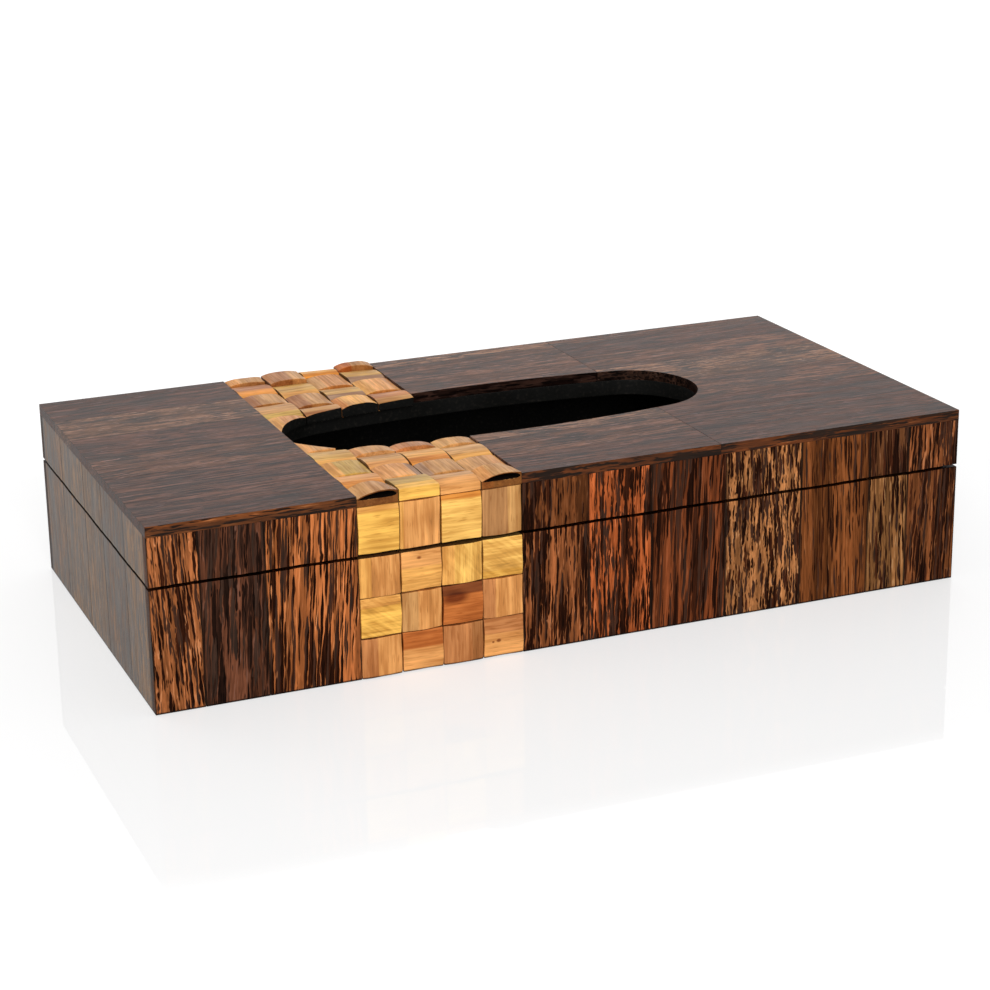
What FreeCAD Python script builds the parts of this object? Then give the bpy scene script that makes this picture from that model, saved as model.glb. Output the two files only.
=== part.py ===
import FreeCAD, Part
import math
import os
import re
import Sketcher
from FreeCAD import Placement, Rotation, Vector

# A wooden tissue box with a hinged lid and an oval slot in its top.
# Core boards are clad with solid palm-wood strips. A band of small arched tiles climbs the front,
# crosses the lid and goes down the back. Clad box and lid were one and were sawn apart at the seam,
# and two butt hinges at the back carry the lid.
# Millimetres, +Z up, +X along the box, +Y to the hinged back, origin at the centre of the resting face.

SIZES = {
    # Whole box
    "box_length": 280,
    "box_width": 140,
    "box_height": 60,
    "lid_height": 19.6,
    # Core boards and their cladding
    "core_thickness": 5.5,
    "bottom_thickness": 5,
    "strip_thickness": 3.5,
    "seam_groove": 0.9,
    "joint_slit": 0.12,
    # Oval slot that the tissues are pulled through
    "slot_length": 150,
    "slot_width": 55,
    "slot_end_radius": 23.5,
    "rear_tile_overhang": 3,
    # Tile band
    "band_offset": 65.8,
    "band_width": 54.6,
    "top_tile_edge": 2.65,
    "top_tile_rise": 1,
    "tunnel_tile_rise": 1.9,
    "face_tile_edge": 3.4,
    "face_tile_rise": 0.6,
    "tunnel_skin": 0.45,
    "tunnel_drop": 0.4,
    "tunnel_depth": 6,
    # Butt hinges
    "hinge_inset": 35,
    "hinge_length": 25,
    "leaf_thickness": 1,
    "leaf_margin": 1,
    "leaf_gap": 0.2,
    "mortise_clearance": 0.1,
    "knuckle_diameter": 4,
    "knuckle_clearance": 0.2,
    "knuckle_play": 0.2,
    "pin_diameter": 2,
    "pin_clearance": 0.05,
    "pin_stickout": 0.5,
    # Countersunk wood screws of the hinges
    "screw_length": 8,
    "screw_diameter": 1.9,
    "screw_head_diameter": 3.4,
    "screw_spacing": 14,
    "screw_clearance": 0.05,
    "screw_slot_width": 0.45,
    "screw_slot_depth": 0.35,
    # How far a cutter runs past what it cuts
    "overrun": 1,
}

# Joints between neighbouring strips, as shares of the field that the strips fill
FRONT_LEFT_SHARES = [0.24, 0.55]
FRONT_RIGHT_SHARES = [0.143, 0.283, 0.451, 0.625, 0.786, 0.88]
BACK_LEFT_SHARES = [0.31, 0.66]
BACK_RIGHT_SHARES = [0.15, 0.31, 0.46, 0.64, 0.82]
LEFT_END_SHARES = [0.18, 0.387, 0.568, 0.80]
RIGHT_END_SHARES = [0.21, 0.40, 0.62, 0.81]
TOP_LEFT_SHARES = [0.171, 0.343, 0.507, 0.668, 0.831]
TOP_INNER_SHARES = [0.125, 0.257, 0.50, 0.757, 0.941]
TOP_OUTER_SHARES = [0.196, 0.357, 0.524, 0.69, 0.82, 0.95]
TOP_BUTT_SHARE = 0.438

# Tile columns of the lid's top, from left to right. Each run starts at the front or back edge:
# its shares of the half width are where tiles meet, and its letters say which way each tile is arched.
# V: the crest runs from front to back. H: the crest runs along the box.
# O: a taller V, with an open hollow end.
FRONT_TILE_RUNS = [
    ("OHVHV", [0, 0.14, 0.32, 0.515, 0.71, 1]),
    ("HVHV", [0, 0.182, 0.372, 0.562, 1]),
    ("HVHV", [0, 0.165, 0.345, 0.56, 1]),
    ("OVHV", [0, 0.14, 0.315, 0.52, 1]),
]
BACK_TILE_RUNS = [
    ("VHVHV", [0, 0.09, 0.30, 0.48, 0.70, 1]),
    ("VHVH", [0, 0.17, 0.388, 0.59, 0.755]),
    ("HVHV", [0, 0.105, 0.32, 0.517, 1]),
    ("VHVH", [0, 0.075, 0.275, 0.495, 0.685]),
]
# Hand-cut tiles differ: each one's edge and rise, as shares of the usual ones
FRONT_EDGE_SHARES = [[1, 1, 1, 1, 1], [1.2, 1, 1, 1], [1, 1, 1, 1], [1, 1, 1, 1]]
FRONT_RISE_SHARES = [[1, 0.9, 0.8, 0.9, 0.8], [0.9, 1, 1, 1], [1, 0.95, 1.1, 1.1], [1, 0.9, 1.1, 1.1]]
BACK_EDGE_SHARES = [[1.2, 1, 1, 1, 1], [1.45, 1, 1, 1], [1.2, 1, 1, 1], [1.43, 1, 1, 1]]
BACK_RISE_SHARES = [
    [0.7, 0.9, 0.8, 0.9, 0.8], [0.85, 0.9, 1.05, 0.9], [0.9, 0.9, 0.9, 1.2], [1.25, 1, 1, 0.9],
]
COLUMNS = len(FRONT_TILE_RUNS)
BASE_ROWS = 3
KNUCKLES = 5

# Planes and reaches that pieces share, as expressions in the sizes
LEFT = "(-box_length / 2)"
FRONT = "(-box_width / 2)"
BACK = "(box_width / 2)"
SEAM = "(box_height - lid_height)"
CORE_LEFT = "(strip_thickness - box_length / 2)"
CORE_RIGHT = "(box_length / 2 - strip_thickness)"
CORE_FRONT = "(strip_thickness - box_width / 2)"
CORE_BACK = "(box_width / 2 - strip_thickness)"
CORE_TOP = "(box_height - strip_thickness)"
CORE_LENGTH = "(box_length - 2 * strip_thickness)"
CORE_WIDTH = "(box_width - 2 * strip_thickness)"
INNER_LENGTH = "(box_length - 2 * strip_thickness - 2 * core_thickness)"
INNER_WIDTH = "(box_width - 2 * strip_thickness - 2 * core_thickness)"
PANEL_UNDERSIDE = "(box_height - strip_thickness - core_thickness)"
RAIL_HEIGHT = "(lid_height - strip_thickness - core_thickness)"
BASE_SKIN_HEIGHT = "(box_height - lid_height - seam_groove / 2)"
LID_SKIN_FOOT = "(box_height - lid_height + seam_groove / 2)"
LID_SKIN_HEIGHT = "(lid_height - strip_thickness - seam_groove / 2)"
BAND_LEFT = "(band_offset - box_length / 2)"
BAND_RIGHT = "(band_offset + band_width - box_length / 2)"
RIGHT_FIELD = "(box_length - band_offset - band_width)"
HALF_WIDTH = "(box_width / 2)"
COLUMN_WIDTH = f"(band_width / {COLUMNS})"
FACE_TILE_DEPTH = "(face_tile_edge + face_tile_rise)"
PIN_Y = "(box_width / 2 + knuckle_clearance + knuckle_diameter / 2)"
LEAF_END_Y = "(box_width / 2 - strip_thickness - core_thickness + leaf_margin)"
SCREW_Y = "(box_width / 2 - strip_thickness - core_thickness / 2)"
HEAD_DEPTH = "((screw_head_diameter - screw_diameter) / 2)"

doc = FreeCAD.newDocument("tissue_box")
sheet = doc.addObject("Spreadsheet::Sheet", "sizes")
for row, (name, value) in enumerate(SIZES.items(), start=1):
    sheet.set(f"A{row}", name)
    sheet.set(f"B{row}", str(value))
    sheet.setAlias(f"B{row}", name)
doc.recompute()

PIECES = []


# Small helpers that bind features to the sheet

def terms(text):
    """The expression with each named size read from the sheet."""
    return re.sub(r"[a-z][a-z_]+", lambda word: f"sizes.{word[0]}" if word[0] in SIZES else word[0], text)


def bind(feature, **sizes):
    """Ties properties of a feature to expressions in the sizes."""
    for prop, text in sizes.items():
        feature.setExpression(prop, terms(text))


def place(feature, point):
    """Ties a feature's position to three expressions in the sizes."""
    for axis, text in zip("xyz", point):
        feature.setExpression(f"Placement.Base.{axis}", terms(text))


def block(name, low, size):
    """A square-edged board from its low corner and its three sizes."""
    board = doc.addObject("Part::Box", name)
    bind(board, Length=size[0], Width=size[1], Height=size[2])
    place(board, low)
    return board


def rod(name, along, start, radius, length):
    """A round bar along one axis."""
    turns = {"x": Rotation(Vector(0, 1, 0), 90), "y": Rotation(Vector(1, 0, 0), -90), "z": Rotation()}
    bar = doc.addObject("Part::Cylinder", name)
    bar.Placement = Placement(Vector(), turns[along])
    bind(bar, Radius=radius, Height=length)
    place(bar, start)
    return bar


def cone(name, start, low_radius, high_radius, height):
    """An upright cone from its lower end."""
    taper = doc.addObject("Part::Cone", name)
    bind(taper, Radius1=low_radius, Radius2=high_radius, Height=height)
    place(taper, start)
    return taper


def group(name, members):
    """Separate solids kept together as one object."""
    together = doc.addObject("Part::Compound", name)
    together.Links = members
    return together


def fuse(name, members):
    """One solid from several that overlap."""
    whole = doc.addObject("Part::MultiFuse", name)
    whole.Shapes = members
    return whole


def common(name, first, second):
    """What two solids share."""
    shared = doc.addObject("Part::MultiCommon", name)
    shared.Shapes = [first, second]
    return shared


def cut(name, body, cutters):
    """A body with cutters that lie clear of each other taken out of it."""
    rest = doc.addObject("Part::Cut", name)
    rest.Base = body
    rest.Tool = cutters[0] if len(cutters) == 1 else group(f"{name}_cutters", cutters)
    return rest


def piece(label, feature):
    """Names a finished sub-part and lists it for writing out."""
    feature.Label = label
    PIECES.append(feature)


# Oval slot: two flat side arcs run smoothly into two tight end arcs

def oval_cutter(name, shift):
    """A prism of the slot's outline, set back towards the front by shift."""
    end = sheet.get("slot_end_radius")
    half_width = sheet.get("slot_width") / 2
    reach = sheet.get("slot_length") / 2 - end
    side = (reach**2 + half_width**2 - end**2) / (2 * (half_width - end))
    lean = math.atan2(reach, side - half_width)
    right_angle = math.pi / 2

    def arc(x, y, radius, middle, spread):
        circle = Part.Circle(Vector(x, y, 0), Vector(0, 0, 1), radius)
        return Part.ArcOfCircle(circle, middle - spread, middle + spread)

    outline = doc.addObject("Sketcher::SketchObject", f"{name}_outline")
    outline.addGeometry([
        arc(reach, 0, end, 0, right_angle - lean),
        arc(0, half_width - side, side, right_angle, lean),
        arc(-reach, 0, end, 2 * right_angle, right_angle - lean),
        arc(0, side - half_width, side, 3 * right_angle, lean),
    ], False)
    start_point, end_point, centre, origin, x_axis = 1, 2, 3, -1, -1
    for near, far in ((0, 1), (1, 2), (2, 3), (3, 0)):
        outline.addConstraint(Sketcher.Constraint("Tangent", near, end_point, far, start_point))
    outline.addConstraint(Sketcher.Constraint("Symmetric", 0, centre, 2, centre, origin, start_point))
    outline.addConstraint(Sketcher.Constraint("PointOnObject", 0, centre, x_axis))
    outline.addConstraint(Sketcher.Constraint("Equal", 0, 2))
    outline.addConstraint(Sketcher.Constraint("Equal", 1, 3))
    reach_text = "(slot_length / 2 - slot_end_radius)"
    side_text = f"({reach_text} ^ 2 + slot_width ^ 2 / 4 - slot_end_radius ^ 2)"
    side_text += " / (slot_width - 2 * slot_end_radius)"
    between_ends = Sketcher.Constraint("DistanceX", 2, centre, 0, centre, 2 * reach)
    sized = {
        "end_radius": (Sketcher.Constraint("Radius", 0, end), "slot_end_radius"),
        "side_radius": (Sketcher.Constraint("Radius", 1, side), side_text),
        "end_spacing": (between_ends, f"2 * {reach_text}"),
    }
    for label, (constraint, text) in sized.items():
        outline.renameConstraint(outline.addConstraint(constraint), label)
        outline.setExpression(f"Constraints.{label}", terms(text))
    place(outline, ["0", f"-({shift})", f"{PANEL_UNDERSIDE} - overrun"])
    prism = doc.addObject("Part::Extrusion", name)
    prism.Base = outline
    prism.DirMode = "Custom"
    prism.Dir = Vector(0, 0, 1)
    prism.Solid = True
    bind(prism, LengthFwd="core_thickness + strip_thickness + top_tile_rise + 2 * overrun")
    return prism


slot = oval_cutter("slot", "0")
rear_tile_slot = oval_cutter("rear_tile_slot", "rear_tile_overhang")


# Hinges: two leaves let into the seam faces, a loose pin, and a pair of screws through each leaf

def off_seam(above, near, far):
    """Lower end and height of what lies from near to far off the seam, in the lid or in the base."""
    low = f"{SEAM} + {near}" if above else f"{SEAM} - {far}"
    return low, f"({far} - {near})"


LEAF_FACE = "(leaf_gap / 2)"
LEAF_SEAT = "(leaf_gap / 2 + leaf_thickness)"
HEAD_END = f"(leaf_gap / 2 + {HEAD_DEPTH})"
POINT_START = "(leaf_gap / 2 + screw_length - screw_diameter)"
POINT_END = "(leaf_gap / 2 + screw_length)"
PILOT_END = "(leaf_gap / 2 + screw_length + screw_clearance)"
SCREW_RADIUS = "(screw_diameter / 2)"
HEAD_RADIUS = "(screw_head_diameter / 2)"


def head_cone(name, above, x, allowance):
    """The countersunk head, or with an allowance the seat that it lies in."""
    low, height = off_seam(above, LEAF_FACE, HEAD_END)
    radii = [f"{HEAD_RADIUS} + {allowance}", f"{SCREW_RADIUS} + {allowance}"]
    low_radius, high_radius = radii if above else reversed(radii)
    return cone(name, [x, SCREW_Y, low], low_radius, high_radius, height)


def hinge_screw(name, above, x):
    """A slotted wood screw with its head flush in the leaf."""
    low, height = off_seam(above, HEAD_END, POINT_START)
    shank = rod(f"{name}_shank", "z", [x, SCREW_Y, low], SCREW_RADIUS, height)
    low, height = off_seam(above, POINT_START, POINT_END)
    radii = [SCREW_RADIUS, "0"] if above else ["0", SCREW_RADIUS]
    point = cone(f"{name}_point", [x, SCREW_Y, low], *radii, height)
    solid = fuse(f"{name}_blank", [head_cone(f"{name}_head", above, x, "0"), shank, point])
    low, height = off_seam(above, f"({LEAF_FACE} - overrun)", f"({LEAF_FACE} + screw_slot_depth)")
    corner = [f"{x} - {HEAD_RADIUS}", f"{SCREW_Y} - screw_slot_width / 2", low]
    slit = block(f"{name}_slit", corner, ["screw_head_diameter", "screw_slot_width", height])
    return cut(name, solid, [slit])


def hinge_leaf(name, above, centre, knuckles, screw_places):
    """A plate in its mortise, rolled round the pin at its own knuckles."""
    start = f"({centre} - hinge_length / 2)"
    low, height = off_seam(above, LEAF_FACE, LEAF_SEAT)
    plate_size = ["hinge_length", f"{BACK} - {LEAF_END_Y}", height]
    solids = [block(f"{name}_plate", [start, LEAF_END_Y, low], plate_size)]
    segment = f"(hinge_length / {KNUCKLES})"
    for k in knuckles:
        x = f"{start} + {segment} * {k} + knuckle_play / 2"
        length = f"{segment} - knuckle_play"
        solids.append(block(f"{name}_web_{k}", [x, BACK, low], [length, f"{PIN_Y} - {BACK}", height]))
        solids.append(rod(f"{name}_knuckle_{k}", "x", [x, PIN_Y, SEAM], "knuckle_diameter / 2", length))
    bore_start = [f"{start} - overrun", PIN_Y, SEAM]
    bore_radius = "pin_diameter / 2 + pin_clearance"
    cutters = [rod(f"{name}_bore", "x", bore_start, bore_radius, "hinge_length + 2 * overrun")]
    low, height = off_seam(above, f"({LEAF_FACE} - overrun)", f"({LEAF_SEAT} + overrun)")
    for n, x in enumerate(screw_places, start=1):
        seat = head_cone(f"{name}_seat_{n}", above, x, "screw_clearance")
        hole = rod(f"{name}_hole_{n}", "z", [x, SCREW_Y, low], f"{SCREW_RADIUS} + screw_clearance", height)
        cutters.append(fuse(f"{name}_screw_way_{n}", [seat, hole]))
    return cut(name, fuse(f"{name}_blank", solids), cutters)


def mortise(name, above, centre, screw_places):
    """The shallow bed of one leaf, and the pilot holes under its screws."""
    low, height = off_seam(above, "(-overrun)", LEAF_SEAT)
    start = f"{centre} - hinge_length / 2 - mortise_clearance"
    corner = [start, f"{LEAF_END_Y} - mortise_clearance", low]
    length = "hinge_length + 2 * mortise_clearance"
    depth = f"{BACK} - {LEAF_END_Y} + mortise_clearance + overrun"
    bed = block(f"{name}_bed", corner, [length, depth, height])
    low, height = off_seam(above, LEAF_FACE, PILOT_END)
    pilots = [
        rod(f"{name}_pilot_{n}", "z", [x, SCREW_Y, low], f"{SCREW_RADIUS} + screw_clearance", height)
        for n, x in enumerate(screw_places, start=1)
    ]
    return fuse(name, [bed, *pilots])


HINGE_CENTRES = {"left": "(hinge_inset - box_length / 2)", "right": "(box_length / 2 - hinge_inset)"}
mortises = {False: {}, True: {}}
screws = {False: [], True: []}
for side, centre in HINGE_CENTRES.items():
    screw_places = [f"({centre} - screw_spacing / 2)", f"({centre} + screw_spacing / 2)"]
    for half, above in (("base", False), ("lid", True)):
        knuckles = range(1 if above else 0, KNUCKLES, 2)
        leaf = hinge_leaf(f"{side}_{half}_leaf", above, centre, knuckles, screw_places)
        piece(f"hinge_{side}_{half}_leaf", leaf)
        mortises[above][side] = mortise(f"{side}_{half}_mortise", above, centre, screw_places)
        for n, x in enumerate(screw_places, start=1):
            screws[above].append(hinge_screw(f"{side}_{half}_screw_{n}", above, x))
    pin_start = [f"{centre} - hinge_length / 2 - pin_stickout", PIN_Y, SEAM]
    pin = rod(f"{side}_pin", "x", pin_start, "pin_diameter / 2", "hinge_length + 2 * pin_stickout")
    piece(f"hinge_{side}_pin", pin)
piece("hinge_base_screws", group("base_screws", screws[False]))
piece("hinge_lid_screws", group("lid_screws", screws[True]))


# Core: a five-board tray below the seam, and four rails under a slotted panel above it

def core_frame(half, foot, height, hinge_beds):
    """Four boards round the inside, the back one let in for the hinges."""
    long_board = [CORE_LENGTH, "core_thickness", height]
    short_board = ["core_thickness", INNER_WIDTH, height]
    piece(f"{half}_front_wall", block(f"{half}_front_board", [CORE_LEFT, CORE_FRONT, foot], long_board))
    back = block(f"{half}_back_board", [CORE_LEFT, f"{CORE_BACK} - core_thickness", foot], long_board)
    piece(f"{half}_back_wall", cut(f"{half}_back_let_in", back, list(hinge_beds.values())))
    left_corner = [CORE_LEFT, f"{CORE_FRONT} + core_thickness", foot]
    right_corner = [f"{CORE_RIGHT} - core_thickness", f"{CORE_FRONT} + core_thickness", foot]
    piece(f"{half}_left_wall", block(f"{half}_left_board", left_corner, short_board))
    piece(f"{half}_right_wall", block(f"{half}_right_board", right_corner, short_board))


core_frame("base", "0", SEAM, mortises[False])
core_frame("lid", SEAM, RAIL_HEIGHT, mortises[True])
bottom_corner = [f"{CORE_LEFT} + core_thickness", f"{CORE_FRONT} + core_thickness", "0"]
bottom_size = [INNER_LENGTH, INNER_WIDTH, "bottom_thickness"]
piece("base_bottom_panel", block("bottom_board", bottom_corner, bottom_size))
panel_size = [CORE_LENGTH, CORE_WIDTH, "core_thickness"]
panel = block("top_board", [CORE_LEFT, CORE_FRONT, PANEL_UNDERSIDE], panel_size)
piece("lid_top_panel", cut("top_board_slotted", panel, [slot]))


# Cladding strips, edge to edge with a glue slit at each joint

def strips(name, along, start, run, shares, low, size):
    """Strips side by side along one axis, parted at shares of the run."""
    k = "xyz".index(along)
    edges = [0, *shares, 1]
    boards = []
    for n, (near, far) in enumerate(zip(edges, edges[1:]), start=1):
        near_slit = "joint_slit / 2" if near > 0 else "0"
        far_slit = "joint_slit / 2" if far < 1 else "0"
        corner, extent = list(low), list(size)
        corner[k] = f"{start} + {run} * {near} + {near_slit}"
        extent[k] = f"{run} * {far - near:.4f} - {near_slit} - {far_slit}"
        boards.append(block(f"{name}_{n}", corner, extent))
    return group(name, boards)


def clad_sides(half, foot, height, hinge_beds):
    """Upright strips on the four sides of the base or of the lid."""
    depth = "strip_thickness"
    for face, y, left_shares, right_shares in (
        ("front", FRONT, FRONT_LEFT_SHARES, FRONT_RIGHT_SHARES),
        ("back", CORE_BACK, BACK_LEFT_SHARES, BACK_RIGHT_SHARES),
    ):
        for side, start, run, shares in (
            ("left", LEFT, "band_offset", left_shares),
            ("right", BAND_RIGHT, RIGHT_FIELD, right_shares),
        ):
            name = f"{half}_{face}_{side}_skin"
            skin = strips(name, "x", start, run, shares, ["0", y, foot], ["0", depth, height])
            if face == "back":
                skin = cut(f"{name}_let_in", skin, [hinge_beds[side]])
            piece(f"{half}_{face}_strips_{side}", skin)
    for side, x, shares in (("left", LEFT, LEFT_END_SHARES), ("right", CORE_RIGHT, RIGHT_END_SHARES)):
        low, size = [x, "0", foot], [depth, "0", height]
        skin = strips(f"{half}_{side}_end_skin", "y", CORE_FRONT, CORE_WIDTH, shares, low, size)
        piece(f"{half}_{side}_end_strips", skin)


clad_sides("base", "0", BASE_SKIN_HEIGHT, mortises[False])
clad_sides("lid", LID_SKIN_FOOT, LID_SKIN_HEIGHT, mortises[True])

butt = f"({RIGHT_FIELD} * {TOP_BUTT_SHARE})"
for field, x, length, shares in (
    ("left", LEFT, "band_offset", TOP_LEFT_SHARES),
    ("inner", BAND_RIGHT, f"{butt} - joint_slit", TOP_INNER_SHARES),
    ("outer", f"{BAND_RIGHT} + {butt}", f"{RIGHT_FIELD} - {butt}", TOP_OUTER_SHARES),
):
    low, size = [x, "0", CORE_TOP], [length, "0", "strip_thickness"]
    skin = strips(f"top_{field}_skin", "y", FRONT, "box_width", shares, low, size)
    piece(f"lid_top_strips_{field}", cut(f"top_{field}_slotted", skin, [slot]))


# Tiles: flat backs glued to the core, round crowns that run along or across the band

def arch_radius(span, rise):
    """Radius of a crown of that rise over that span."""
    return f"(({span}) ^ 2 / 4 + {rise} ^ 2) / (2 * {rise})"


def arched_tile(name, low, size, outward, crest, rise):
    """A tile whose crown faces outward, with its crest along one axis."""
    slab = block(f"{name}_slab", low, size)
    across = next(axis for axis in "xyz" if axis not in (outward[1], crest))
    a, c, o = ("xyz".index(axis) for axis in (across, crest, outward[1]))
    radius = arch_radius(size[a], rise)
    start = [None] * 3
    start[a] = f"{low[a]} + ({size[a]}) / 2"
    start[c] = f"{low[c]} - overrun"
    start[o] = f"{low[o]} + {size[o]} - {radius}" if outward[0] == "+" else f"{low[o]} + {radius}"
    crown = rod(f"{name}_crown", crest, start, radius, f"{size[c]} + 2 * overrun")
    return common(name, slab, crown)


def arch_hollow(name, low, size, edge, rise):
    """The open end under a crown that runs from front to back."""
    radius = arch_radius(size[0], rise)
    middle = f"{low[0]} + ({size[0]}) / 2"
    start = [middle, f"{low[1]} - overrun", f"{low[2]} + {size[2]} - tunnel_skin - {radius}"]
    inner = rod(f"{name}_inner_crown", "y", start, radius, "tunnel_depth + overrun")
    low_face = [low[0], f"{low[1]} - overrun", f"{low[2]} + {edge} - tunnel_drop"]
    room_size = [size[0], "tunnel_depth + overrun", f"{rise} + tunnel_drop"]
    room = block(f"{name}_room", low_face, room_size)
    return common(name, inner, room)


def column_place(column):
    """Left side and width of one column of tiles, clear of its neighbours by a glue slit."""
    return f"{BAND_LEFT} + {COLUMN_WIDTH} * {column} + joint_slit / 2", f"({COLUMN_WIDTH} - joint_slit)"


def face_tiles(label, face, row, foot, height):
    """One row of tiles across the band on the front or the back, arched by turns up and along."""
    outward, y = ("-y", f"{CORE_FRONT} - {FACE_TILE_DEPTH}") if face == "front" else ("+y", CORE_BACK)
    tiles = []
    for column in range(COLUMNS):
        x, width = column_place(column)
        crest = "x" if (row + column) % 2 == 0 else "z"
        size = [width, FACE_TILE_DEPTH, height]
        name = f"{label}_{column + 1}"
        tiles.append(arched_tile(name, [x, y, foot], size, outward, crest, "face_tile_rise"))
    piece(label, group(f"{label}_row", tiles))


def top_tile_run(label, column, from_front, run, edge_shares, rise_shares, cutter):
    """One column of top tiles from the front or back edge in to the slot."""
    x, width = column_place(column)
    letters, shares = run
    tiles = []
    for n, (letter, near, far) in enumerate(zip(letters, shares, shares[1:]), start=1):
        edge_slit = "joint_slit / 2" if near > 0 else "0"
        length = f"{HALF_WIDTH} * {far - near:.4f} - {edge_slit} - joint_slit / 2"
        y = f"{FRONT} + {HALF_WIDTH} * {near} + {edge_slit}"
        if not from_front:
            y = f"{BACK} - {HALF_WIDTH} * {far} + joint_slit / 2"
        edge = f"(top_tile_edge * {edge_shares[n - 1]})"
        rise = "tunnel_tile_rise" if letter == "O" else "top_tile_rise"
        rise = f"({rise} * {rise_shares[n - 1]})"
        low, size = [x, y, CORE_TOP], [width, length, f"({edge} + {rise})"]
        crest = "x" if letter == "H" else "y"
        tile = arched_tile(f"{label}_{n}", low, size, "+z", crest, rise)
        if letter == "O":
            hollow = arch_hollow(f"{label}_{n}_hollow", low, size, edge, rise)
            tile = cut(f"{label}_{n}_open", tile, [hollow])
        tiles.append(tile)
    piece(label, cut(f"{label}_slotted", group(f"{label}_run", tiles), [cutter]))


row_height = f"({BASE_SKIN_HEIGHT} / {BASE_ROWS})"
for face in ("front", "back"):
    face_tiles(f"lid_{face}_tiles", face, 0, LID_SKIN_FOOT, f"{LID_SKIN_HEIGHT} - joint_slit")
    for row in range(1, BASE_ROWS + 1):
        foot = f"{row_height} * {BASE_ROWS - row}"
        face_tiles(f"base_{face}_tiles_row_{row}", face, row, foot, f"{row_height} - joint_slit")
front_runs = zip(FRONT_TILE_RUNS, FRONT_EDGE_SHARES, FRONT_RISE_SHARES)
for column, (run, edge_shares, rise_shares) in enumerate(front_runs):
    top_tile_run(f"lid_top_tiles_front_{column + 1}", column, True, run, edge_shares, rise_shares, slot)
back_runs = zip(BACK_TILE_RUNS, BACK_EDGE_SHARES, BACK_RISE_SHARES)
for column, (run, edge_shares, rise_shares) in enumerate(back_runs):
    label = f"lid_top_tiles_back_{column + 1}"
    top_tile_run(label, column, False, run, edge_shares, rise_shares, rear_tile_slot)


# Recompute, check every object, and write each sub-part's solids
doc.recompute()
for feature in doc.Objects:
    if "Invalid" in feature.State or "Error" in feature.State:
        raise RuntimeError(f"{feature.Name} failed: {feature.State}")
for feature in PIECES:
    if feature.Shape.isNull() or not feature.Shape.isValid() or not feature.Shape.Solids:
        raise RuntimeError(f"{feature.Label} has no valid solid")
os.makedirs("parts", exist_ok=True)
for feature in PIECES:
    Part.makeCompound(feature.Shape.Solids).exportStep(f"parts/{feature.Label}.step")
print(f"{len(PIECES)} sub-parts, {sum(len(feature.Shape.Solids) for feature in PIECES)} solids")
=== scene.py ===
import functools
import math
import random

import bpy
from mathutils import Matrix, Vector


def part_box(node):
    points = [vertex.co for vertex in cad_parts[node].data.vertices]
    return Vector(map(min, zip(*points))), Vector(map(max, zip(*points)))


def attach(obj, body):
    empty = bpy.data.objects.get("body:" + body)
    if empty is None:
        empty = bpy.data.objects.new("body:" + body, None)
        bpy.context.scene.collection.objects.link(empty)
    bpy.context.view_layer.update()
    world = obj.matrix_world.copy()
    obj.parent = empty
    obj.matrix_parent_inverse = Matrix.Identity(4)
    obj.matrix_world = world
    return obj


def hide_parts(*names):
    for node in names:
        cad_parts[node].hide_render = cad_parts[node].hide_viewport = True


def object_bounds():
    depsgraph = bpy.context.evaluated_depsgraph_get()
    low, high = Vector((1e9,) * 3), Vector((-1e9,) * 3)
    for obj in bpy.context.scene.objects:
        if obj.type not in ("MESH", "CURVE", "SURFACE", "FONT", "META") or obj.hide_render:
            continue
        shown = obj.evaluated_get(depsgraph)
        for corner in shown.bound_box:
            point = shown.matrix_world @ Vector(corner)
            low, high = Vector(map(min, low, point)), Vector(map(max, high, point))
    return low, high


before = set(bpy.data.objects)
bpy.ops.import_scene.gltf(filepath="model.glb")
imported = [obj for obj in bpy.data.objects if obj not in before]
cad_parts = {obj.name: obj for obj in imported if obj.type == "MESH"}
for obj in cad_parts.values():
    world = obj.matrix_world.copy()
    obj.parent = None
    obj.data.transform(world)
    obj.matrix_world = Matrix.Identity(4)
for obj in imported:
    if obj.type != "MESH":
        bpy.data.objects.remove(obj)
cad_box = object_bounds()


# Core boards. The box itself is thin sheet board, glued at the corners and brushed with black paint inside.
# The lid's board has the oval slot sawn through it, and the back boards are let in for the hinge leaves.
WALLS = ["front_wall", "back_wall", "left_wall", "right_wall"]
BOARD_EASE = 0.0003
SHARP_ANGLE = math.radians(38)
SEAM_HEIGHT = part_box("base_back_wall")[1][2]
SLOT_LENGTH = 0.150
SLOT_WIDTH = 0.055
SLOT_END_RADIUS = 0.0235
SLOT_POINTS = 240
SLOT_FOOT = 0.030
SLOT_TOP = 0.080
LEAF_SEAT = 0.0011
BED_CLEARANCE = 0.0001
BED_OVERRUN = 0.010
PAINT_BLACK = (0.003, 0.003, 0.0026, 1)
PAINT_WORN = (0.014, 0.012, 0.010, 1)
PAINT_RELIEF = 0.0002
NOISE_MIDDLE = (0.3, 0.7)


def sawn_block(name, low, high):
    """A block between two corners, its place in its mesh."""
    bpy.ops.object.select_all(action="DESELECT")
    low, high = Vector(low), Vector(high)
    bpy.ops.mesh.primitive_cube_add(size=1, location=(low + high) / 2, scale=high - low)
    bpy.ops.object.transform_apply(location=True, rotation=True, scale=True)
    piece = bpy.context.object
    piece.name = piece.data.name = name
    return piece


def pick(piece):
    """Makes a piece the only selected one."""
    bpy.ops.object.select_all(action="DESELECT")
    piece.select_set(True)
    bpy.context.view_layer.objects.active = piece


def shape_with(piece, tool, operation="DIFFERENCE", cut_colour="INDEX"):
    """Cuts a tool out of a piece or welds it on. TRANSFER gives the cut the tool's colour."""
    pick(piece)
    step = piece.modifiers.new("step", "BOOLEAN")
    step.operation = operation
    step.solver = "EXACT"
    step.material_mode = cut_colour
    step.object = tool
    bpy.ops.object.modifier_apply(modifier=step.name)


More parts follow.
